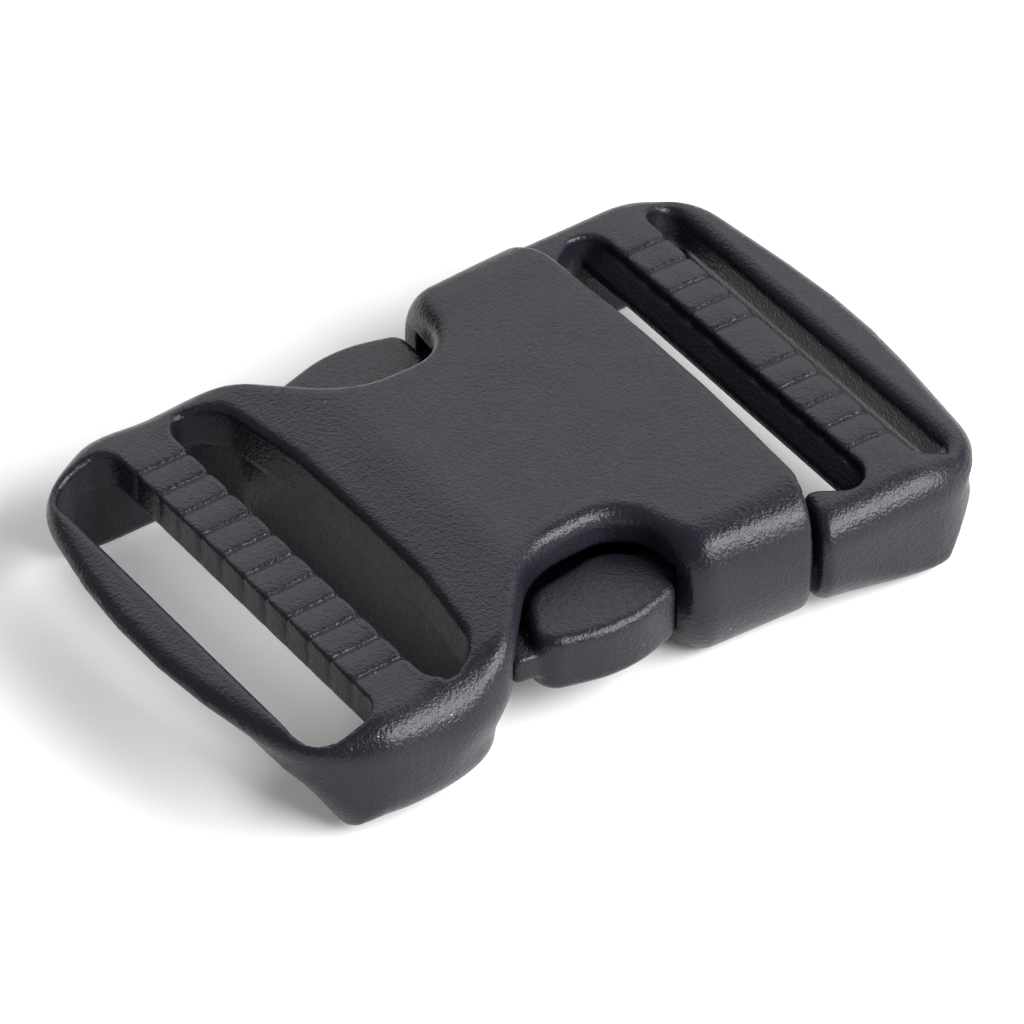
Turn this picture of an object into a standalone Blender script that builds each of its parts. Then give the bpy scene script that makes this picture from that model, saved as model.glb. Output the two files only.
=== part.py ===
"""A side-release buckle that adjusts at both ends, moulded in acetal for 38 mm webbing.

It is latched: the plug's frame sits in the socket's mouth, and the heads of the plug's two
spring arms stand in the socket's side windows. Squeezing the heads together frees the plug,
which then slides out along +X. The two adjusters are three-bar sliders: the webbing goes up
through the outer slot, over the ribbed bar and down through the inner slot.

Frame: +X from the socket's end bar to the plug's, +Y to the left, +Z up. The origin is at the
centre of the footprint, on the lowest face. Sizes are in millimetres, and slab() turns them
into metres. An outline's corner is (across, along, radius of its rounding).
"""

from math import atan2, ceil, cos, pi, radians, sin

import bmesh
import bpy

MM = 0.001
ARC_STEP = radians(15)  # one chord of a rounded corner
WELD = 0.001

# Driving sizes of the whole buckle
WEBBING = 38.0
SLOT_LENGTH = WEBBING + 1.4
WIDTH = SLOT_LENGTH + 6.6
LENGTH = 73.2
BODY_THICK = 13.2  # the socket between its windows and its mouth
END_BOTTOM = 0.7  # both adjusters, between these heights
END_TOP = 11.0
SOCKET_BAR_THICK = 3.6  # the ribbed bars, at the top of the adjusters
PLUG_BAR_THICK = 4.8
SOCKET_EDGE = 5.2  # radius of the rounding along the socket's sides
PLUG_EDGE = 3.0  # and along the plug's

# Each end bar's plan, as (along, radius): where its two slopes would meet, then its corners
SOCKET_CROWN = (LENGTH / 2 + 1.85, 55.0)
SOCKET_CORNER = (32.3, 10.5)
PLUG_CROWN = (LENGTH / 2 + 0.8, 60.0)
PLUG_CORNER = (34.2, 7.4)

MID = BODY_THICK / 2  # height of the middle plane
HALF_WIDTH = WIDTH / 2
HALF_SLOT = SLOT_LENGTH / 2
END_X = LENGTH / 2

# Side view of an adjuster's end: the flat underside, the slope up to the end bar, its blunt
# nose and the crown down to it from the ribbed bar
END_PROFILE = [
    (30.3, END_BOTTOM, 1.0),
    (33.8, MID + 0.2, 2.0),
    (36.0, MID + 1.1, 0.6),
    (END_X, MID + 1.7, 0.4),
    (END_X, MID + 2.7, 0.6),
    (33.6, END_TOP - 1.0, 3.0),
    (27.0, END_TOP, 6.0),
]
BODY_RAMP = (-21.5, -8.0)  # the socket thickens between these
BODY_RAMP_RADIUS = 10.0

# Socket: the bite out of its side that the arm's head stands in, then the mouth's edge
WINDOW = [
    (-15.9, HALF_WIDTH, 9.0),
    (-6.5, 12.6, 8.0),
    (3.2, 12.4, 4.5),
    (5.2, HALF_WIDTH, 3.0),
]
MOUTH_X = 17.6
MOUTH_EDGE = [
    (15.2, HALF_WIDTH, 2.0),
    (17.0, 17.4, 8.0),
    (MOUTH_X, 5.0, 40.0),
]
SOCKET_OUTER_SLOT = (-32.2, -25.9)
SOCKET_INNER_SLOT = (-20.6, -14.4)
SLOT_RADIUS = 2.6

# The cavity between the windows and the mouth
CAVITY_BACK = -12.6
WINDOW_BACK = -13.4
WINDOW_RIGHT = 4.2  # the inner ends of the rails that the arms catch on
CAVITY_HEIGHT = 6.4
CATCH_HALF_WIDTH = 18.2  # between those rails
MOUTH_TAPER_X = 8.6  # where the lead-in from the mouth ends
MOUTH_HALF_WIDTH = 19.8

# Plug
SHOULDER_GAP = 0.8  # between the socket's mouth and the plug's shoulders
SHOULDER_RADII = (0.6, 7.4, 40.0)
PLUG_OUTER_SLOT = (28.2, 31.6)
PLUG_OUTER_SLOT_RADIUS = 1.5
PLUG_INNER_SLOT = (15.6, 23.4)
SLOT_NARROW_HALF = 13.8  # the inner slot's front is this narrow and widens up to the next
SLOT_SHOULDER_X = 19.2
PLUG_THICK = 5.6  # what goes into the cavity
CROSSBAR_BACK = 12.6
CROSSBAR_PLAY = 0.4
CROSSBAR_OVERLAP = 2.5  # how far the crossbar reaches into the frame
TONGUE_HALF_WIDTH = 3.0
TONGUE_TIP = -10.6
TONGUE_TAPER = 6.0
TONGUE_TIP_HALF_WIDTH = 2.2

# Spring arms, drawn for the left one
ARM_ROOT_X = CROSSBAR_BACK - 0.4
ARM_ROOT_Y = 15.9
ARM_THICK = 2.4
NOSE_THICK = 2.6
ROOT_INSIDE = ARM_ROOT_Y - ARM_THICK / 2
ROOT_OUTSIDE = ARM_ROOT_Y + ARM_THICK / 2
ARM_OUTLINE = [
    (ARM_ROOT_X, ROOT_OUTSIDE, 0),
    (5.0, ROOT_OUTSIDE - 0.2, 1.0),
    (3.4, 17.3, 0.5),
    (3.4, 19.9, 0.9),
    (-2.5, 21.6, 12.0),
    (-10.4, 19.6, 2.0),
    (-7.0, 13.6, 4.0),
    (1.6, 12.4, 4.0),
    (6.0, ROOT_INSIDE - 0.2, 3.0),
    (ARM_ROOT_X, ROOT_INSIDE, 0),
]
NOSE_OUTLINE = [
    (-7.0, 14.6, 0),
    (-11.2, 15.8, 0.8),
    (-12.2, 18.6, 0.8),
    (-7.0, 19.4, 0),
]

# Grooves across the strap bars, one rib apart; the plug's bar has none in the middle
RIB_PITCH = 3.1
RIB_GROOVE = 0.5
RIB_DEPTH = 0.35
SOCKET_GROOVES = [step * RIB_PITCH for step in range(-5, 6)]
PLUG_GROOVES = [step * RIB_PITCH for step in range(-5, 6) if step]

# Room for cutters to run past what they cut, and a hair that keeps their faces apart
OVERRUN = 1.0
HAIR = 0.02

BLACK = (0.018, 0.018, 0.020, 1.0)
DARK_GREY = (0.030, 0.030, 0.033, 1.0)
ROUGHNESS = 0.45


def clear_scene():
    for thing in list(bpy.data.objects):
        bpy.data.objects.remove(thing, do_unlink=True)


def new_collection(name):
    group = bpy.data.collections.new(name)
    bpy.context.scene.collection.children.link(group)
    return group


def acetal(name, colour):
    material = bpy.data.materials.new(name)
    material.use_nodes = True
    shader = material.node_tree.nodes["Principled BSDF"]
    shader.inputs["Base Color"].default_value = colour
    shader.inputs["Roughness"].default_value = ROUGHNESS
    shader.inputs["Metallic"].default_value = 0.0
    return material


def wrapped(angle):
    return (angle + pi) % (2 * pi) - pi


def corner_arc(before, corner, after):
    """The points of the arc that rounds one corner off."""
    x, y, radius = corner
    towards = atan2(before[1] - y, before[0] - x)
    away = atan2(after[1] - y, after[0] - x)
    opening = wrapped(away - towards)
    bisector = towards + opening / 2
    reach = radius / abs(sin(opening / 2))
    centre_x = x + reach * cos(bisector)
    centre_y = y + reach * sin(bisector)
    quarter = pi / 2 if opening > 0 else -pi / 2
    start = towards - quarter
    turn = wrapped(away + quarter - start)
    chords = max(1, ceil(abs(turn) / ARC_STEP))
    angles = [start + turn * step / chords for step in range(chords + 1)]
    return [(centre_x + radius * cos(angle), centre_y + radius * sin(angle)) for angle in angles]


def rounded(corners):
    """The points of a closed outline with its corners rounded off."""
    points = []
    for index, corner in enumerate(corners):
        if corner[2] == 0:
            points.append(corner[:2])
            continue
        after = corners[(index + 1) % len(corners)]
        points.extend(corner_arc(corners[index - 1], corner, after))
    return points


def mirrored(corners):
    """A closed outline from its +Y half, which starts and ends on the centre line."""
    other_half = [(x, -y, radius) for x, y, radius in reversed(corners) if y > 0]
    return rounded(corners + other_half)


def box_outline(x_range, half_width, radius):
    low, high = x_range
    return rounded([
        (low, -half_width, radius),
        (high, -half_width, radius),
        (high, half_width, radius),
        (low, half_width, radius),
    ])


def slab(name, outline, low, high, group, plane="XY"):
    """A flat outline in a plane, given thickness from low to high along the plane's normal."""
    curve = bpy.data.curves.new(name, "CURVE")
    curve.dimensions = "2D"
    curve.fill_mode = "BOTH"
    curve.extrude = (high - low) / 2 * MM
    spline = curve.splines.new("POLY")
    spline.points.add(len(outline) - 1)
    for point, (across, along) in zip(spline.points, outline):
        point.co = (across * MM, along * MM, 0, 1)
    spline.use_cyclic_u = True
    drawn = bpy.data.objects.new(name + "_curve", curve)
    group.objects.link(drawn)
    middle = (low + high) / 2 * MM
    if plane == "XY":
        drawn.location = (0, 0, middle)
    elif plane == "XZ":
        drawn.rotation_euler = (pi / 2, 0, 0)
        drawn.location = (0, middle, 0)
    else:
        drawn.rotation_euler = (pi / 2, 0, pi / 2)
        drawn.location = (middle, 0, 0)
    bpy.context.view_layer.update()

    seen = drawn.evaluated_get(bpy.context.evaluated_depsgraph_get())
    mesh = bpy.data.meshes.new_from_object(seen)
    mesh.transform(drawn.matrix_world)
    mesh.name = name
    shell = bmesh.new()
    shell.from_mesh(mesh)
    bmesh.ops.remove_doubles(shell, verts=shell.verts, dist=WELD * MM)
    bmesh.ops.recalc_face_normals(shell, faces=shell.faces)
    shell.to_mesh(mesh)
    shell.free()
    bpy.data.objects.remove(drawn, do_unlink=True)
    solid = bpy.data.objects.new(name, mesh)
    group.objects.link(solid)
    return solid


def combine(piece, tool, operation):
    modifier = piece.modifiers.new(tool.name, "BOOLEAN")
    modifier.operation = operation
    modifier.solver = "EXACT"
    modifier.object = tool
    tool.display_type = "WIRE"
    tool.hide_render = True


def cut_through(piece, name, outline, cutters):
    combine(piece, slab(name, outline, -OVERRUN, BODY_THICK + OVERRUN, cutters), "DIFFERENCE")


def cut_grooves(piece, name, places, bar, cutters):
    """Cuts the grooves across a strap bar with one comb, seen along X."""
    above = END_TOP + OVERRUN
    outline = [(-HALF_SLOT, above)]
    for place in places:
        outline.append((place - RIB_GROOVE / 2, END_TOP + RIB_DEPTH))
        outline.append((place, END_TOP - RIB_DEPTH))
        outline.append((place + RIB_GROOVE / 2, END_TOP + RIB_DEPTH))
    outline.append((HALF_SLOT, above))
    comb = slab(name, outline, bar[0] - OVERRUN, bar[1] + OVERRUN, cutters, plane="YZ")
    combine(piece, comb, "DIFFERENCE")


def cut_under_bar(piece, name, x_range, bar_thick, cutters):
    """Opens the space below a strap bar, between the rails."""
    outline = box_outline(x_range, HALF_SLOT - HAIR, SLOT_RADIUS)
    combine(piece, slab(name, outline, -OVERRUN, END_TOP - bar_thick, cutters), "DIFFERENCE")


def round_sides(piece, name, low, high, edge, cutters):
    """Keeps what lies inside the cross-section with rounded sides, seen along X."""
    outline = rounded([
        (-HALF_WIDTH, low, edge),
        (HALF_WIDTH, low, edge),
        (HALF_WIDTH, high, edge),
        (-HALF_WIDTH, high, edge),
    ])
    combine(piece, slab(name, outline, -LENGTH, LENGTH, cutters, plane="YZ"), "INTERSECT")


def socket_side_view():
    outer_end = [(-x, z, radius) for x, z, radius in END_PROFILE]
    start, full = BODY_RAMP
    past_mouth = MOUTH_X + OVERRUN
    return rounded([
        (start, END_BOTTOM, BODY_RAMP_RADIUS),
        *outer_end,
        (start, END_TOP, BODY_RAMP_RADIUS),
        (full, BODY_THICK, BODY_RAMP_RADIUS),
        (past_mouth, BODY_THICK, 0),
        (past_mouth, 0, 0),
        (full, 0, BODY_RAMP_RADIUS),
    ])


def lead_in_half_width(x):
    """Half the cavity's width between the catch and the mouth."""
    share = (x - MOUTH_TAPER_X) / (MOUTH_X - MOUTH_TAPER_X)
    return CATCH_HALF_WIDTH + share * (MOUTH_HALF_WIDTH - CATCH_HALF_WIDTH)


def cavity_outline():
    outside = HALF_WIDTH + OVERRUN
    past_mouth = MOUTH_X + OVERRUN
    return mirrored([
        (CAVITY_BACK, 0, 0),
        (CAVITY_BACK, 15.5, 1.5),
        (WINDOW_BACK, CATCH_HALF_WIDTH, 1.0),
        (WINDOW_BACK, outside, 0),
        (WINDOW_RIGHT, outside, 0),
        (WINDOW_RIGHT, CATCH_HALF_WIDTH, 0),
        (MOUTH_TAPER_X, CATCH_HALF_WIDTH, 0),
        (MOUTH_X, MOUTH_HALF_WIDTH, 0),
        (past_mouth, MOUTH_HALF_WIDTH, 0),
        (past_mouth, 0, 0),
    ])


def socket(group, cutters, material):
    plan = mirrored([
        (-SOCKET_CROWN[0], 0, SOCKET_CROWN[1]),
        (-SOCKET_CORNER[0], HALF_WIDTH, SOCKET_CORNER[1]),
        *WINDOW,
        *MOUTH_EDGE,
        (MOUTH_X, 0, 0),
    ])
    piece = slab("socket_body", plan, -OVERRUN, BODY_THICK + OVERRUN, group)
    profile = slab("socket_side", socket_side_view(), -WIDTH, WIDTH, cutters, plane="XZ")
    combine(piece, profile, "INTERSECT")
    round_sides(piece, "socket_section", 0, BODY_THICK, SOCKET_EDGE, cutters)

    outer_slot = box_outline(SOCKET_OUTER_SLOT, HALF_SLOT, SLOT_RADIUS)
    inner_slot = box_outline(SOCKET_INNER_SLOT, HALF_SLOT, SLOT_RADIUS)
    cut_through(piece, "socket_outer_slot", outer_slot, cutters)
    cut_through(piece, "socket_inner_slot", inner_slot, cutters)
    under_bar = (-END_X - 2 * SLOT_RADIUS, SOCKET_INNER_SLOT[1] - HAIR)
    cut_under_bar(piece, "socket_under_bar", under_bar, SOCKET_BAR_THICK, cutters)
    bar = (SOCKET_OUTER_SLOT[1], SOCKET_INNER_SLOT[0])
    cut_grooves(piece, "socket_grooves", SOCKET_GROOVES, bar, cutters)

    half_height = CAVITY_HEIGHT / 2
    cavity = slab("socket_cavity", cavity_outline(), MID - half_height, MID + half_height, cutters)
    combine(piece, cavity, "DIFFERENCE")
    piece.data.materials.append(material)


def crossbar_and_tongue_outline():
    root = MOUTH_HALF_WIDTH - CROSSBAR_PLAY
    inside_frame = MOUTH_X + CROSSBAR_OVERLAP
    return mirrored([
        (TONGUE_TIP, 0, 0),
        (TONGUE_TIP, TONGUE_TIP_HALF_WIDTH, 1.2),
        (TONGUE_TIP + TONGUE_TAPER, TONGUE_HALF_WIDTH, 4.0),
        (CROSSBAR_BACK, TONGUE_HALF_WIDTH, 2.0),
        (CROSSBAR_BACK, lead_in_half_width(CROSSBAR_BACK) - CROSSBAR_PLAY, 1.0),
        (MOUTH_X, root, 0),
        (inside_frame, root, 0),
        (inside_frame, 0, 0),
    ])


def plug_frame(group, cutters, material):
    shoulders = []
    for (x, y, _), radius in zip(MOUTH_EDGE, SHOULDER_RADII):
        shoulders.append((x + SHOULDER_GAP, y, radius))
    plan = mirrored([
        (MOUTH_X + SHOULDER_GAP, 0, 0),
        *reversed(shoulders),
        (PLUG_CORNER[0], HALF_WIDTH, PLUG_CORNER[1]),
        (PLUG_CROWN[0], 0, PLUG_CROWN[1]),
    ])
    piece = slab("plug_frame", plan, -OVERRUN, BODY_THICK + OVERRUN, group)
    front = MOUTH_EDGE[0][0] - OVERRUN
    side_view = rounded([(front, END_TOP, 0), (front, END_BOTTOM, 0), *END_PROFILE])
    profile = slab("plug_side", side_view, -WIDTH, WIDTH, cutters, plane="XZ")
    combine(piece, profile, "INTERSECT")
    round_sides(piece, "plug_section", END_BOTTOM, END_TOP, PLUG_EDGE, cutters)

    low, high = MID - PLUG_THICK / 2, MID + PLUG_THICK / 2
    insert = slab("plug_crossbar", crossbar_and_tongue_outline(), low, high, cutters)
    combine(piece, insert, "UNION")

    outer_slot = box_outline(PLUG_OUTER_SLOT, HALF_SLOT, PLUG_OUTER_SLOT_RADIUS)
    inner_slot = mirrored([
        (PLUG_INNER_SLOT[0], 0, 0),
        (PLUG_INNER_SLOT[0], SLOT_NARROW_HALF, 2.0),
        (SLOT_SHOULDER_X, HALF_SLOT, SLOT_RADIUS),
        (PLUG_INNER_SLOT[1], HALF_SLOT, SLOT_RADIUS),
        (PLUG_INNER_SLOT[1], 0, 0),
    ])
    cut_through(piece, "plug_outer_slot", outer_slot, cutters)
    cut_through(piece, "plug_inner_slot", inner_slot, cutters)
    under_bar = (SLOT_SHOULDER_X, END_X + 2 * SLOT_RADIUS)
    cut_under_bar(piece, "plug_under_bar", under_bar, PLUG_BAR_THICK, cutters)
    bar = (PLUG_INNER_SLOT[1], PLUG_OUTER_SLOT[0])
    cut_grooves(piece, "plug_grooves", PLUG_GROOVES, bar, cutters)
    piece.data.materials.append(material)


def arm(name, side, group, cutters, material):
    """A spring arm with its head and nose; side is +1 for the left arm and -1 for the right."""
    body = rounded([(x, side * y, radius) for x, y, radius in ARM_OUTLINE])
    tip = rounded([(x, side * y, radius) for x, y, radius in NOSE_OUTLINE])
    piece = slab(name, body, MID - PLUG_THICK / 2, MID + PLUG_THICK / 2, group)
    nose = slab(name + "_nose", tip, MID - NOSE_THICK / 2, MID + NOSE_THICK / 2, cutters)
    combine(piece, nose, "UNION")
    piece.data.materials.append(material)

    hinge = bpy.data.objects.new(name + "_hinge", None)
    hinge.location = (ARM_ROOT_X * MM, side * ARM_ROOT_Y * MM, MID * MM)
    group.objects.link(hinge)
    bpy.context.view_layer.update()
    piece.parent = hinge
    piece.matrix_parent_inverse = hinge.matrix_world.inverted()


def main():
    clear_scene()
    buckle = new_collection("side_release_buckle")
    cutters = new_collection("cutters")
    black = acetal("acetal_black", BLACK)
    dark_grey = acetal("acetal_black_arms", DARK_GREY)
    socket(buckle, cutters, black)
    plug_frame(buckle, cutters, black)
    arm("left_arm", 1, buckle, cutters, dark_grey)
    arm("right_arm", -1, buckle, cutters, dark_grey)


main()
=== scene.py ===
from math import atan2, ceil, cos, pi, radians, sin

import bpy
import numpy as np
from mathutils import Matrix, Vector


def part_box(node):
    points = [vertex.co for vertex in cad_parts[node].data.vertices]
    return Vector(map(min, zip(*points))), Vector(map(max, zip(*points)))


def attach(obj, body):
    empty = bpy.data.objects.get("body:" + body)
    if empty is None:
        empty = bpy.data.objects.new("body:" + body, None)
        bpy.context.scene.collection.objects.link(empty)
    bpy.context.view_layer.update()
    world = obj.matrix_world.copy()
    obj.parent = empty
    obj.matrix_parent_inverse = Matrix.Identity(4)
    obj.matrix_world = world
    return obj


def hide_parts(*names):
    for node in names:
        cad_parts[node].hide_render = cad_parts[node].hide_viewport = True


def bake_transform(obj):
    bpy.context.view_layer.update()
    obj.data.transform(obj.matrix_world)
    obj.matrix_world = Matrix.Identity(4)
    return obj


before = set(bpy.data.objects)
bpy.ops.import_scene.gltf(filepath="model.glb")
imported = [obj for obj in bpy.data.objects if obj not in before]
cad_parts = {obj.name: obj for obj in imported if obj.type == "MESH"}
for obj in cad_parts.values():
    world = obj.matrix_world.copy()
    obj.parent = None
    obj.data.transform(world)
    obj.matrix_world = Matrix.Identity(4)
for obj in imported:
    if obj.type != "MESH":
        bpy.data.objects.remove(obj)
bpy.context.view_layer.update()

# A side-release buckle in moulded black acetal, latched, on a pale floor in soft studio light.
#
# Each moulding is described by a signed distance, negative inside the plastic, which is put
# together from plan outlines, a side view, and rounded cuts and joins. A mesh is then laid on
# its surface. Sizes are in millimetres until a mesh is made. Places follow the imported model:
# +X from the socket to the plug, +Y to the left arm, +Z up, the floor at zero. The buckle's two
# sides mirror each other, so most shapes are drawn with side = |y|. The studio is in metres.

MM = 0.001


# ---------------------------------------------------------------- sizes, in millimetres

def box_in_mm(node):
    return [np.array(corner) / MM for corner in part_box(node)]


SOCKET_LOW, SOCKET_HIGH = box_in_mm("socket_body")
PLUG_LOW, PLUG_HIGH = box_in_mm("plug_frame")
ARM_LOW, ARM_HIGH = box_in_mm("left_arm")

THICK = SOCKET_HIGH[2]
MID = THICK / 2
HALF_WIDTH = SOCKET_HIGH[1]
MOUTH_X = SOCKET_HIGH[0]
END_X = PLUG_HIGH[0]
END_BOTTOM = PLUG_LOW[2]
END_TOP = PLUG_HIGH[2]
HALF_SLOT = HALF_WIDTH - 3.3
FAR = 60.0  # past anything that is cut

WINDOW_CLEARANCE = 1.5  # between the socket's side and the window's outline along the rail
SHOULDER_GAP = 0.7  # between the mouth and the plug's shoulders
ROOT_X = 13.2  # where the arms leave the plug's frame

# Plan outlines: (x, side, radius of the corner)
SOCKET_OUTLINE = [
    (-END_X - 1.85, 0, 55.0),
    (-32.3, HALF_WIDTH, 10.5),
    (FAR, HALF_WIDTH, 0),
    (FAR, 0, 0),
]
WINDOW_OUTLINE = [
    (-FAR, HALF_WIDTH + WINDOW_CLEARANCE, 0),
    (-20.0, HALF_WIDTH + WINDOW_CLEARANCE, 10.0),
    (-14.0, 21.2, 8.0),
    (-6.5, 12.6, 8.0),
    (3.4, 12.4, 4.2),
    (4.5, 21.8, 2.6),
    (15.0, HALF_WIDTH + 0.2, 10.0),
    (FAR, HALF_WIDTH + 4, 0),
    (FAR, FAR, 0),
    (-FAR, FAR, 0),
]
PLUG_OUTLINE = [
    (-FAR, 0, 0),
    (-FAR, HALF_WIDTH, 0),
    (34.2, HALF_WIDTH, 7.4),
    (END_X + 0.8, 0, 60.0),
]
MOUTH_OUTLINE = [
    (-FAR, 0, 0),
    (-FAR, HALF_WIDTH + 5, 0),
    (14.2, HALF_WIDTH + 5, 0),
    (15.2, HALF_WIDTH, 2.0),
    (17.0, 17.4, 8.0),
    (MOUTH_X, 5.0, 40.0),
    (MOUTH_X, 0, 0),
]
SOCKET_OUTER_SLOT = (-32.4, -25.8)
SOCKET_INNER_SLOT = (-20.6, -14.35)
PLUG_OUTER_SLOT = (28.2, 31.6)
PLUG_INNER_SLOT = (15.6, 23.6)
SOCKET_OUTER_SLOT_OUTLINE = [
    (SOCKET_OUTER_SLOT[0], 0, 0),
    (SOCKET_OUTER_SLOT[0], HALF_SLOT, 3.2),
    (SOCKET_OUTER_SLOT[1], HALF_SLOT, 2.0),
    (SOCKET_OUTER_SLOT[1], 0, 0),
]
SOCKET_INNER_SLOT_OUTLINE = [
    (SOCKET_INNER_SLOT[0], 0, 0),
    (SOCKET_INNER_SLOT[0], HALF_SLOT, 2.2),
    (-16.0, HALF_SLOT, 4.2),
    (-14.45, 9.0, 25.0),
    (SOCKET_INNER_SLOT[1], 0, 0),
]
PLUG_INNER_SLOT_OUTLINE = [
    (PLUG_INNER_SLOT[0], 0, 0),
    (PLUG_INNER_SLOT[0], 13.8, 2.0),
    (17.6, 17.6, 1.2),
    (20.9, HALF_SLOT, 1.5),
    (PLUG_INNER_SLOT[1], HALF_SLOT, 2.4),
    (PLUG_INNER_SLOT[1], 0, 0),
]
CAVITY_OUTLINE = [
    (-12.6, 0, 0),
    (-12.6, 15.5, 1.5),
    (-13.4, 18.2, 1.0),
    (-13.4, 30.0, 0),
    (4.2, 30.0, 0),
    (4.2, 18.2, 0.3),
    (8.6, 18.2, 3.0),
    (MOUTH_X, 19.8, 0),
    (MOUTH_X + 5, 20.6, 0),
    (MOUTH_X + 5, 0, 0),
]
INSERT_OUTLINE = [
    (PLUG_LOW[0], 0, 0),
    (PLUG_LOW[0], 2.2, 1.2),
    (PLUG_LOW[0] + 6, 3.0, 4.0),
    (12.6, 3.0, 2.0),
    (12.6, 18.5, 1.0),
    (MOUTH_X, 19.4, 0),
    (MOUTH_X + 2.5, 19.4, 0),
    (MOUTH_X + 2.5, 0, 0),
]
HEAD_OUTLINE = [
    (3.5, 19.9, 1.5),
    (-2.5, 21.7, 12.0),
    (-10.6, 19.4, 2.2),
    (-7.6, 13.4, 4.0),
    (1.4, 12.2, 4.0),
    (3.7, 15.5, 2.5),
]
STEM_OUTLINE = [
    (ROOT_X, 17.1, 0),
    (2.0, 17.3, 0),
    (0.0, 16.0, 0),
    (1.6, 13.5, 3.0),
    (6.0, 14.5, 3.0),
    (ROOT_X, 14.7, 0),
]
NOSE_OUTLINE = [
    (-6.0, 14.6, 0),
    (-11.2, 15.8, 0.8),
    (ARM_LOW[0] - 0.3, 18.6, 0.8),
    (-6.0, 19.4, 0),
]

# Side views: (x, z, radius of the corner), out to the end along the underside and back along
# the top
END_VIEW = [
    (29.7, END_BOTTOM, 1.2),
    (34.0, 7.3, 2.5),
    (END_X + 2, 8.4, 0),
    (END_X + 2, END_TOP - 1.6, 0),
    (33.6, END_TOP - 1.0, 5.0),
    (27.0, END_TOP, 8.0),
]
SOCKET_VIEW = [
    (-21.5, END_BOTTOM, 10.0),
    *[(-x, z, radius) for x, z, radius in END_VIEW],
    (-21.5, END_TOP, 10.0),
    (-8.0, THICK, 16.0),
    (FAR, THICK, 0),
    (FAR, 0, 0),
    (-8.0, 0, 16.0),
]
PLUG_VIEW = [(-FAR, END_TOP, 0), (-FAR, END_BOTTOM, 0), *END_VIEW]
LEDGE_VIEW = [
    (25.0, 10.2, 0),
    (23.4, 9.8, 0.5),
    (22.2, 8.4, 0.4),
    (22.2, 7.6, 0.4),
    (23.4, 6.3, 0.4),
    (25.0, 6.3, 0),
]

SOCKET_BAR_THICK = 3.6
PLUG_BAR_THICK = 4.8
SOCKET_BAR_UNDER = (SOCKET_OUTER_SLOT[0] - 0.3, SOCKET_INNER_SLOT[1])  # the space below it, in x
PLUG_BAR_UNDER = (19.2, PLUG_OUTER_SLOT[1] + 0.3)
HALF_UNDER = HALF_SLOT - 0.02
LEAST_WALL = 1.6  # between the space under a bar and the outside
PARTING_HEIGHT = 6.2  # of the mould's line along the bridge's wall
CAVITY_HALF_HEIGHT = 3.2
INSERT_HALF_HEIGHT = 2.8
STEM_HALF_HEIGHT = 2.2
NOSE_HALF_HEIGHT = 1.3

# Radii of the rounded edges
RAIL_RADII = (3.0, 4.6)  # beside the strap slots, and beside the windows
BARREL_RADIUS = 5.6
SOCKET_END_RADIUS = 1.7
RAIL_LOW_RADIUS = 3.3
SOCKET_END_LOW_RADIUS = 1.2
PLUG_RADIUS = 3.0
PLUG_END_RADIUS = 2.0
PLUG_LOW_RADII = (5.0, 0.9)  # beside the mouth, and beside the strap slots
PLUG_END_LOW_RADIUS = 0.6
SHOULDER_RADIUS = 1.2
WINDOW_RIMS = (2.4, 1.5)  # at its foot, and above
MOUTH_RIM = 0.45
CAVITY_RIM = 0.35
SLOT_LOW_RIM = 0.25
SLOT_FILLET = 0.5  # where a slot opens into the space under the bar
SLOT_RIM_HEIGHTS = (7.5, 9.5)  # from the slots' lower rims to their upper ones
INSERT_RADIUS = 0.5
HEAD_RADIUS = 1.0

# The strap bars' ribs
RIB_PITCH = 3.1
SOCKET_GROOVES = [step * RIB_PITCH for step in range(-5, 6)]
PLUG_GROOVES = [step * RIB_PITCH for step in range(-5, 6) if step]
GROOVE_DEPTH = 0.13
GROOVE_HALF_WIDTH = 0.19
RIB_CROWN = 0.10  # how far a rib's top falls towards its grooves
SCALLOP = 0.15  # how far a bar's edges draw back at each groove
SCALLOP_HALF_WIDTH = 0.45


# ---------------------------------------------------------------- outlines

ARC_STEP = radians(6)
CELL = 0.12  # spacing of an outline's table of distances
MARGIN = 4.0  # of the table around the region that is used


def wrapped(angle):
    """The same angle between minus pi and pi."""
    return (angle + pi) % (2 * pi) - pi


def rounded(corners):
    """The points of a closed outline with its corners rounded off."""
    points = []
    for index, (x, y, radius) in enumerate(corners):
        if radius == 0:
            points.append((x, y))
            continue
        before = corners[index - 1]
        after = corners[(index + 1) % len(corners)]
        towards = atan2(before[1] - y, before[0] - x)
        away = atan2(after[1] - y, after[0] - x)
        opening = wrapped(away - towards)
        bisector = towards + opening / 2
        reach = radius / abs(sin(opening / 2))
        quarter = pi / 2 if opening > 0 else -pi / 2
        start = towards - quarter
        turn = wrapped(away + quarter - start)
        chords = max(1, ceil(abs(turn) / ARC_STEP))
        for step in range(chords + 1):
            angle = start + turn * step / chords
            points.append((
                x + reach * cos(bisector) + radius * cos(angle),
                y + reach * sin(bisector) + radius * sin(angle),
            ))
    return points


def outline_distance(u, v, points):
    """Signed distance to a closed outline, negative inside it."""
    nearest = np.full(np.broadcast(u, v).shape, np.inf)
    inside = np.zeros(nearest.shape, bool)
    for (u0, v0), (u1, v1) in zip(points, points[1:] + points[:1]):
        du, dv = u1 - u0, v1 - v0
        if du == 0 and dv == 0:
            continue
        from_u, from_v = u - u0, v - v0
        share = np.clip((from_u * du + from_v * dv) / (du * du + dv * dv), 0, 1)
        nearest = np.minimum(nearest, (from_u - share * du) ** 2 + (from_v - share * dv) ** 2)
        if dv != 0:
            passes = (v0 <= v) != (v1 <= v)
            inside ^= passes & (from_u < from_v * du / dv)
    return np.where(inside, -1.0, 1.0) * np.sqrt(nearest)


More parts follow.
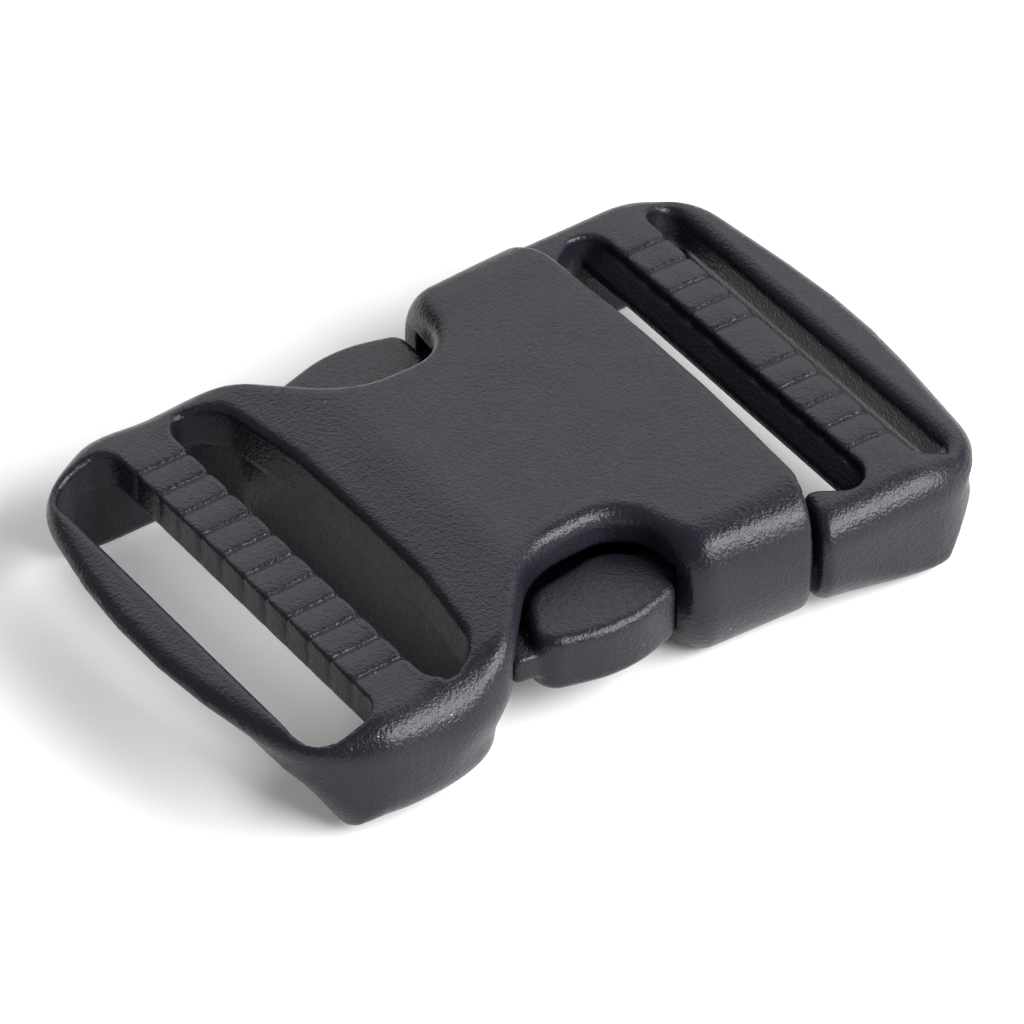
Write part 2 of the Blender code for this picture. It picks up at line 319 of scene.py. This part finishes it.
class Outline:
    """Distance to a rounded outline, read from a fine table over the region that is used."""

    def __init__(self, corners, u_range, v_range, mirror=False):
        if mirror:
            corners = corners + [(u, -v, radius) for u, v, radius in reversed(corners) if v > 0]
        self.start = np.array([u_range[0] - MARGIN, v_range[0] - MARGIN])
        size = np.array([u_range[1] - u_range[0], v_range[1] - v_range[0]]) + 2 * MARGIN
        self.count = np.ceil(size / CELL).astype(int) + 2
        us = self.start[0] + CELL * np.arange(self.count[0])
        vs = self.start[1] + CELL * np.arange(self.count[1])
        self.table = outline_distance(us[:, None], vs[None, :], rounded(corners))

    def __call__(self, u, v):
        s = np.clip((u - self.start[0]) / CELL, 0, self.count[0] - 1.001)
        t = np.clip((v - self.start[1]) / CELL, 0, self.count[1] - 1.001)
        i, j = s.astype(int), t.astype(int)
        s, t = s - i, t - j
        low = self.table[i, j] * (1 - s) + self.table[i + 1, j] * s
        high = self.table[i, j + 1] * (1 - s) + self.table[i + 1, j + 1] * s
        return low * (1 - t) + high * t


SIDE_RANGE = (0, HALF_WIDTH)
ARM_SIDE_RANGE = (10, HALF_WIDTH)
Z_RANGE = (0, THICK)
SOCKET_X = (-END_X, MOUTH_X)
PLUG_X = (PLUG_LOW[0], END_X)
ARM_X = (ARM_LOW[0], 14.0)

socket_plan = Outline(SOCKET_OUTLINE, SOCKET_X, SIDE_RANGE, mirror=True)
window_plan = Outline(WINDOW_OUTLINE, SOCKET_X, SIDE_RANGE)
outer_slot_plan = Outline(SOCKET_OUTER_SLOT_OUTLINE, SOCKET_X, SIDE_RANGE, mirror=True)
inner_slot_plan = Outline(SOCKET_INNER_SLOT_OUTLINE, SOCKET_X, SIDE_RANGE, mirror=True)
plug_plan = Outline(PLUG_OUTLINE, PLUG_X, SIDE_RANGE, mirror=True)
mouth_plan = Outline(MOUTH_OUTLINE, PLUG_X, SIDE_RANGE, mirror=True)
cavity_plan = Outline(CAVITY_OUTLINE, SOCKET_X, SIDE_RANGE, mirror=True)
insert_plan = Outline(INSERT_OUTLINE, PLUG_X, SIDE_RANGE, mirror=True)
plug_inner_slot_plan = Outline(PLUG_INNER_SLOT_OUTLINE, PLUG_X, SIDE_RANGE, mirror=True)
head_plan = Outline(HEAD_OUTLINE, ARM_X, ARM_SIDE_RANGE)
stem_plan = Outline(STEM_OUTLINE, ARM_X, ARM_SIDE_RANGE)
nose_plan = Outline(NOSE_OUTLINE, ARM_X, ARM_SIDE_RANGE)
socket_view = Outline(SOCKET_VIEW, SOCKET_X, Z_RANGE)
plug_view = Outline(PLUG_VIEW, PLUG_X, Z_RANGE)
ledge_view = Outline(LEDGE_VIEW, PLUG_X, Z_RANGE)


# ---------------------------------------------------------------- solids as distances

def common(a, b, radius):
    """What two solids have in common, with the edge between them rounded."""
    corner = np.hypot(np.maximum(a + radius, 0), np.maximum(b + radius, 0))
    return np.minimum(np.maximum(a, b), -radius) + corner


def joined(a, b, radius):
    """Two solids together, with a fillet between them."""
    return -common(-a, -b, radius)


def without(a, b, radius):
    """The first solid less the second, with the rim rounded."""
    return common(a, -b, radius)


def ramp(t, start, end):
    """Nought at the start, one at the end, and a smooth rise between them."""
    share = np.clip((t - start) / (end - start), 0, 1)
    return share * share * (3 - 2 * share)


def mix(a, b, share):
    return a + (b - a) * share


def slot_distance(x, side, x_range, half_length, radius):
    """Plan distance to a slot with rounded corners."""
    middle, half = (x_range[0] + x_range[1]) / 2, (x_range[1] - x_range[0]) / 2
    past_x = np.abs(x - middle) - (half - radius)
    past_side = side - (half_length - radius)
    outside = np.hypot(np.maximum(past_x, 0), np.maximum(past_side, 0))
    return outside + np.minimum(np.maximum(past_x, past_side), 0) - radius


def near(t, place, reach):
    """One at a place, and next to nothing further away than its reach."""
    return np.exp(-(((t - place) / reach) ** 2))


def from_groove(y, grooves):
    """Distance to the nearest of a bar's grooves."""
    return np.min([np.abs(y - place) for place in grooves], axis=0)


def rib_depth(y, grooves):
    """How far a ribbed bar's top lies under its highest level: crowned ribs, narrow grooves."""
    nearest = from_groove(y, grooves)
    fall = np.clip(1 - nearest / (RIB_PITCH / 2), 0, 1)
    return RIB_CROWN * fall ** 2 + GROOVE_DEPTH * near(nearest, 0, GROOVE_HALF_WIDTH)


def scallop_depth(y, grooves):
    return SCALLOP * near(from_groove(y, grooves), 0, SCALLOP_HALF_WIDTH)


def upper_half(z):
    return ramp(z, MID - 1, MID + 1)


def socket(x, y, z):
    side = np.abs(y)
    bar = (sum(SOCKET_OUTER_SLOT) / 2, sum(SOCKET_INNER_SLOT) / 2)
    on_bar = (x > bar[0]) & (x < bar[1]) & (side < HALF_SLOT)
    upper = ramp(z, MID, END_TOP - 1)
    view = socket_view(x, z + rib_depth(y, SOCKET_GROOVES) * on_bar * upper)

    # The body: its edges are rounded most on the barrel, less on the rails and the end bar
    rail = mix(*RAIL_RADII, ramp(x, -27, -16))
    barrel = mix(rail, BARREL_RADIUS, ramp(x, -4, 5))
    top = mix(barrel, SOCKET_END_RADIUS, ramp(-x, 28, 34))
    low_barrel = mix(RAIL_LOW_RADIUS, BARREL_RADIUS, ramp(x, -12, 4))
    bottom = mix(low_barrel, SOCKET_END_LOW_RADIUS, ramp(-x, 26, 31))
    body = common(socket_plan(x, side), view, mix(bottom, top, upper_half(z)))

    # The windows in its sides, which reach further back at their foot, and the mouth
    undercut = 2.0 * ramp(MID - z, -1.5, 3.5) * ramp(-x, 3, 9)
    window_rim = mix(*WINDOW_RIMS, ramp(z, 3, 7)) + 1.3 * ramp(side, 15, 21) * ramp(x, 0, 4)
    body = without(body, window_plan(x + undercut, side), window_rim)
    body = common(body, mouth_plan(x, side), MOUTH_RIM)

    # The strap slots, and the space under the bar between them
    ridge = 0.10 * near(z, PARTING_HEIGHT, 0.16) * ramp(x, -15.8, -14.8)
    scallop = scallop_depth(y, SOCKET_GROOVES) * on_bar * upper
    slots = np.minimum(outer_slot_plan(x, side), inner_slot_plan(x, side) + ridge)
    under = slot_distance(x, side, SOCKET_BAR_UNDER, HALF_UNDER, 3.2)
    under = np.maximum(under, z - (END_TOP - SOCKET_BAR_THICK))
    under = np.maximum(under, socket_plan(x, side) + LEAST_WALL)
    holes = joined(slots - scallop, under, SLOT_FILLET)
    rim = 0.8 - 0.5 * near(x, SOCKET_OUTER_SLOT[1], 1.4)
    rim = rim - 0.35 * near(x, SOCKET_INNER_SLOT[0], 1.4)
    low_rim = SLOT_LOW_RIM + 0.4 * ramp(-x, 27, 30)
    body = without(body, holes, mix(low_rim, rim, ramp(z, *SLOT_RIM_HEIGHTS)))

    cavity = np.maximum(cavity_plan(x, side), np.abs(z - MID) - CAVITY_HALF_HEIGHT)
    return without(body, cavity, CAVITY_RIM)


def plug(x, y, z):
    side = np.abs(y)
    on_bar = (x > 20.5) & (x < sum(PLUG_OUTER_SLOT) / 2) & (side < HALF_SLOT)
    upper = ramp(z, MID, END_TOP - 1)
    view = plug_view(x, z + rib_depth(y, PLUG_GROOVES) * on_bar * upper)

    end_bar = ramp(x, 30.5, 34)
    top = mix(PLUG_RADIUS, PLUG_END_RADIUS, end_bar)
    bottom = mix(mix(*PLUG_LOW_RADII, ramp(x, 15, 29)), PLUG_END_LOW_RADIUS, end_bar)
    body = common(plug_plan(x, side), view, mix(bottom, top, upper_half(z)))
    body = common(body, SHOULDER_GAP - mouth_plan(x, side), SHOULDER_RADIUS)

    # The part inside the socket
    height = np.abs(z - MID) - INSERT_HALF_HEIGHT
    insert = common(insert_plan(x, side), height, INSERT_RADIUS)
    body = joined(body, insert, 0.4)

    # The strap slots, and the space under the bar between them
    outer = slot_distance(x, side, PLUG_OUTER_SLOT, HALF_SLOT, 1.68)
    scallop = scallop_depth(y, PLUG_GROOVES) * on_bar * upper
    under = slot_distance(x, side, PLUG_BAR_UNDER, HALF_UNDER, 1.7)
    under = np.maximum(under, z - (END_TOP - PLUG_BAR_THICK))
    under = np.maximum(under, plug_plan(x, side) + LEAST_WALL)
    slots = np.minimum(outer, plug_inner_slot_plan(x, side))
    holes = joined(slots - scallop, under, SLOT_FILLET)
    rim = 0.5 + 1.0 * ramp(x, 29.5, 31.5) - 0.2 * near(x, PLUG_OUTER_SLOT[0], 1.2)
    body = without(body, holes, mix(SLOT_LOW_RIM, rim, ramp(z, *SLOT_RIM_HEIGHTS)))

    # The ledge along the bar's inner side
    ledge = common(ledge_view(x, z), side - 19.5, 0.4)
    return joined(body, ledge, 0.25)


def arm(x, side, z):
    """The left arm: a round head on a thin stem, with a nose that runs on along the rail."""
    height = np.abs(z - MID)
    head = common(head_plan(x, side), height - INSERT_HALF_HEIGHT, HEAD_RADIUS)
    stem = common(stem_plan(x, side), height - STEM_HALF_HEIGHT, INSERT_RADIUS)
    nose = common(nose_plan(x, side), height - NOSE_HALF_HEIGHT, INSERT_RADIUS)
    return joined(joined(head, stem, 0.5), nose, 0.5)


# ---------------------------------------------------------------- meshes

GRID = 0.38
ARM_GRID = 0.26
EDGE = 0.5  # empty space around a piece
GROOVE_LINES = (0.4, 0.11)  # how far from a groove the grid is fine, and its step there
BAR_EDGE_LINES = (0.5, 0.16)  # the same for a bar's edges
PROBE = 0.02  # half the length that a slope is measured over


def grid_lines(low, high, step, fine_places, fine_reach, fine_step):
    """Positions from low to high, closer together around the given places."""
    lines = [low]
    places = np.array(fine_places, float)
    while lines[-1] < high:
        here = lines[-1]
        close = len(places) and np.abs(places - here - fine_step / 2).min() < fine_reach
        lines.append(here + (fine_step if close else step))
    return np.array(lines)


def lines_for(low, high, step, x_places=(), y_places=(), z_places=()):
    return [
        grid_lines(low[0] - EDGE, high[0] + EDGE, step, x_places, *BAR_EDGE_LINES),
        grid_lines(low[1] - EDGE, high[1] + EDGE, step, y_places, *GROOVE_LINES),
        grid_lines(low[2] - EDGE, high[2] + EDGE, step, z_places, *BAR_EDGE_LINES),
    ]


def along(values, axis, start, stop):
    """A stretch of the values along one axis."""
    pick = [slice(None)] * 3
    pick[axis] = slice(start, stop)
    return values[tuple(pick)]


def surface_net(solid, lines):
    """A mesh of quads on the surface of a solid, one vertex for each grid cell it crosses."""
    grids = [lines[0][:, None, None], lines[1][None, :, None], lines[2][None, None, :]]
    shape = tuple(len(line) for line in lines)
    values = np.broadcast_to(solid(*grids), shape)
    cells = tuple(n - 1 for n in shape)
    total = np.zeros((3,) + cells)
    count = np.zeros(cells)
    crossings = []
    for axis in range(3):
        first = along(values, axis, 0, -1)
        second = along(values, axis, 1, None)
        crossed = (first < 0) != (second < 0)
        crossings.append((crossed, first < 0))
        share = np.where(crossed, first / np.where(crossed, first - second, 1), 0)
        others = [other for other in range(3) if other != axis]
        for ends in ((0, 0), (0, 1), (1, 0), (1, 1)):
            pick = [slice(None)] * 3
            for other, end in zip(others, ends):
                pick[other] = slice(end, cells[other] + end)
            here = crossed[tuple(pick)]
            count += here
            for way in range(3):
                if way == axis:
                    start = along(grids[way], way, 0, -1)
                    place = start + share[tuple(pick)] * np.diff(grids[way], axis=way)
                else:
                    first_line = ends[others.index(way)]
                    place = along(grids[way], way, first_line, cells[way] + first_line)
                total[way] += here * place
    used = count > 0
    points = np.stack([total[way][used] / count[used] for way in range(3)], axis=1)
    index = np.full(cells, -1)
    index[used] = np.arange(used.sum())

    faces = []
    for axis in range(3):
        second, third = (axis + 1) % 3, (axis + 2) % 3
        crossed, starts_inside = crossings[axis]
        pick = [slice(None)] * 3
        pick[second] = slice(1, shape[second] - 1)
        pick[third] = slice(1, shape[third] - 1)
        where = np.argwhere(crossed[tuple(pick)])
        where[:, second] += 1
        where[:, third] += 1
        corners = []
        for back_second, back_third in ((1, 1), (0, 1), (0, 0), (1, 0)):
            cell = where.copy()
            cell[:, second] -= back_second
            cell[:, third] -= back_third
            corners.append(index[tuple(cell.T)])
        quads = np.stack(corners, axis=1)
        flip = ~starts_inside[tuple(where.T)]
        quads[flip] = quads[flip][:, ::-1]
        faces.append(quads)
    return points, np.concatenate(faces)


def gradient(solid, points):
    """The slope of a solid's distance at each point."""
    slope = np.empty_like(points)
    for axis in range(3):
        offset = np.zeros(3)
        offset[axis] = PROBE
        slope[:, axis] = (solid(*(points + offset).T) - solid(*(points - offset).T)) / (2 * PROBE)
    return slope


def settle(solid, points, rounds=2, furthest=0.15):
    """Moves points onto the surface."""
    for _ in range(rounds):
        slope = gradient(solid, points)
        steep = np.maximum((slope ** 2).sum(axis=1), 0.05)
        move = slope * (solid(*points.T) / steep)[:, None]
        length = np.linalg.norm(move, axis=1, keepdims=True)
        points = points - move * np.minimum(1, furthest / np.maximum(length, 1e-9))
    return points


def mesh_object(name, points, faces, material):
    mesh = bpy.data.meshes.new(name)
    mesh.from_pydata((points * MM).tolist(), [], faces.tolist())
    mesh.shade_smooth()
    mesh.materials.append(material)
    piece = bpy.data.objects.new(name, mesh)
    bpy.context.scene.collection.objects.link(piece)
    return piece


def moulding(name, solid, lines, material):
    points, faces = surface_net(solid, lines)
    return mesh_object(name, settle(solid, points), faces, material)


# ---------------------------------------------------------------- black acetal

BLACK = (0.0090, 0.0085, 0.0145, 1)
PALER_BLACK = (0.0130, 0.0124, 0.0195, 1)
DUST = (0.30, 0.30, 0.31, 1)
COARSE_GRAIN = 0.00006  # depths, in metres
FINE_GRAIN = 0.00004


def acetal(name):
    """Black acetal from a spark-eroded mould: satin, with a fine grain."""
    material = bpy.data.materials.new(name)
    material.use_nodes = True
    nodes, links = material.node_tree.nodes, material.node_tree.links
    shader = nodes["Principled BSDF"]
    shader.inputs["IOR"].default_value = 1.40
    place = nodes.new("ShaderNodeTexCoord").outputs["Object"]

    def noise(scale, detail, roughness=0.5):
        node = nodes.new("ShaderNodeTexNoise")
        node.inputs["Scale"].default_value = scale
        node.inputs["Detail"].default_value = detail
        node.inputs["Roughness"].default_value = roughness
        links.new(place, node.inputs["Vector"])
        return node.outputs["Fac"]

    def between(value, low, high, to_low, to_high):
        node = nodes.new("ShaderNodeMapRange")
        node.inputs["From Min"].default_value = low
        node.inputs["From Max"].default_value = high
        node.inputs["To Min"].default_value = to_low
        node.inputs["To Max"].default_value = to_high
        links.new(value, node.inputs["Value"])
        return node.outputs["Result"]

    def blend(factor, first, second):
        node = nodes.new("ShaderNodeMix")
        node.data_type = "RGBA"
        links.new(factor, node.inputs["Factor"])
        for socket_name, colour in (("A", first), ("B", second)):
            if isinstance(colour, tuple):
                node.inputs[socket_name].default_value = colour
            else:
                links.new(colour, node.inputs[socket_name])
        return node.outputs["Result"]

    def bump(depth, height):
        node = nodes.new("ShaderNodeBump")
        node.inputs["Strength"].default_value = 1.0
        node.inputs["Distance"].default_value = depth
        links.new(height, node.inputs["Height"])
        return node

    # the colour: faint clouds, and a few pale specks of dust
    cloud = between(noise(220, 4), 0.3, 0.7, 0, 1)
    colour = blend(cloud, BLACK, PALER_BLACK)
    speck = nodes.new("ShaderNodeTexVoronoi")
    speck.inputs["Scale"].default_value = 330
    links.new(place, speck.inputs["Vector"])
    dust = between(speck.outputs["Distance"], 0.022, 0.034, 1, 0)
    rare = between(noise(140, 0), 0.52, 0.56, 0, 1)
    dusty = nodes.new("ShaderNodeMath")
    dusty.operation = "MULTIPLY"
    links.new(dust, dusty.inputs[0])
    links.new(rare, dusty.inputs[1])
    colour = blend(dusty.outputs["Value"], colour, DUST)
    links.new(colour, shader.inputs["Base Color"])
    links.new(between(noise(1500, 3), 0.3, 0.7, 0.26, 0.36), shader.inputs["Roughness"])

    # the grain: two sizes of fine pits
    coarse = bump(COARSE_GRAIN, noise(2900, 1))
    fine = bump(FINE_GRAIN, noise(5200, 1, 0.6))
    links.new(coarse.outputs["Normal"], fine.inputs["Normal"])
    links.new(fine.outputs["Normal"], shader.inputs["Normal"])
    return material


# ---------------------------------------------------------------- the pieces

TOP_EDGE = END_TOP - 0.2  # the height of the bars' top edges, where the grid is fine

socket_acetal = acetal("socket_acetal")
plug_acetal = acetal("plug_acetal")

bar_edges = (SOCKET_OUTER_SLOT[1], SOCKET_INNER_SLOT[0])
socket_lines = lines_for(SOCKET_LOW, SOCKET_HIGH, GRID, bar_edges, SOCKET_GROOVES, [TOP_EDGE])
socket_piece = moulding("socket_moulding", socket, socket_lines, socket_acetal)
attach(socket_piece, "socket")
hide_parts("socket_body")

bar_edges = (PLUG_INNER_SLOT[1], PLUG_OUTER_SLOT[0])
plug_lines = lines_for(PLUG_LOW, PLUG_HIGH, GRID, bar_edges, PLUG_GROOVES, [TOP_EDGE])
plug_piece = moulding("plug_moulding", plug, plug_lines, plug_acetal)
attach(plug_piece, "plug")
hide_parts("plug_frame")

# The arms: one mesh, mirrored for the right arm
arm_low = np.array([ARM_LOW[0] - EDGE, ARM_LOW[1], ARM_LOW[2]])
arm_high = np.array([ROOT_X, ARM_HIGH[1], ARM_HIGH[2]])
arm_points, arm_faces = surface_net(arm, lines_for(arm_low, arm_high, ARM_GRID))
arm_points = settle(arm, arm_points)
for body, hand in (("left_arm", 1), ("right_arm", -1)):
    faces = arm_faces if hand > 0 else arm_faces[:, ::-1]
    piece = mesh_object(body + "_moulding", arm_points * (1, hand, 1), faces, plug_acetal)
    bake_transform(piece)
    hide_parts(body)


# ---------------------------------------------------------------- studio

AIM = Vector((-0.0008, -0.0025, 0.0071))
WHITE = (1, 1, 1, 1)
PAPER = (0.93, 0.93, 0.93, 1)
FLOOR_REACH = 3.0
AZIMUTH = radians(-35.403)
ELEVATION = radians(40.774)
DISTANCE = 0.7117
FOCAL_LENGTH = 303.58  # these two in millimetres
SENSOR_WIDTH = 36


def pale_floor():
    """A floor that lifts the shadows a little with a glow of its own."""
    mesh = bpy.data.meshes.new("floor")
    corners = [(x * FLOOR_REACH, y * FLOOR_REACH, 0) for x, y in ((-1, -1), (1, -1), (1, 1), (-1, 1))]
    mesh.from_pydata(corners, [], [(0, 1, 2, 3)])
    floor = bpy.data.objects.new("floor", mesh)
    bpy.context.scene.collection.objects.link(floor)
    paper = bpy.data.materials.new("pale_floor")
    paper.use_nodes = True
    shader = paper.node_tree.nodes["Principled BSDF"]
    shader.inputs["Base Color"].default_value = PAPER
    shader.inputs["Roughness"].default_value = 0.9
    shader.inputs["Emission Color"].default_value = WHITE
    shader.inputs["Emission Strength"].default_value = 0.05
    mesh.materials.append(paper)


def white_world():
    world = bpy.data.worlds.new("studio")
    world.use_nodes = True
    background = world.node_tree.nodes["Background"]
    background.inputs["Color"].default_value = WHITE
    background.inputs["Strength"].default_value = 0.22
    bpy.context.scene.world = world


def softbox(name, location, size, power):
    light = bpy.data.lights.new(name, "AREA")
    light.shape = "RECTANGLE"
    light.size, light.size_y = size
    light.energy = power
    lamp = bpy.data.objects.new(name, light)
    lamp.location = location
    lamp.rotation_euler = (AIM - Vector(location)).to_track_quat("-Z", "Y").to_euler()
    bpy.context.scene.collection.objects.link(lamp)


def camera():
    """A long lens at the photograph's angle: from the socket's right, looking down."""
    level = cos(ELEVATION)
    away = Vector((sin(AZIMUTH) * level, -cos(AZIMUTH) * level, sin(ELEVATION)))
    lens = bpy.data.cameras.new("camera")
    lens.lens = FOCAL_LENGTH
    lens.sensor_width = SENSOR_WIDTH
    lens.clip_end = 20
    view = bpy.data.objects.new("camera", lens)
    view.location = AIM + away * DISTANCE
    view.rotation_euler = (pi / 2 - ELEVATION, 0, AZIMUTH)
    bpy.context.scene.collection.objects.link(view)
    bpy.context.scene.camera = view


bpy.context.scene.view_settings.view_transform = "Standard"
pale_floor()
white_world()
softbox("behind", location=(0.36, 0.52, 0.50), size=(1.40, 0.64), power=4.0)
softbox("near", location=(0.31, -0.53, 0.47), size=(0.75, 0.48), power=11.8)
camera()
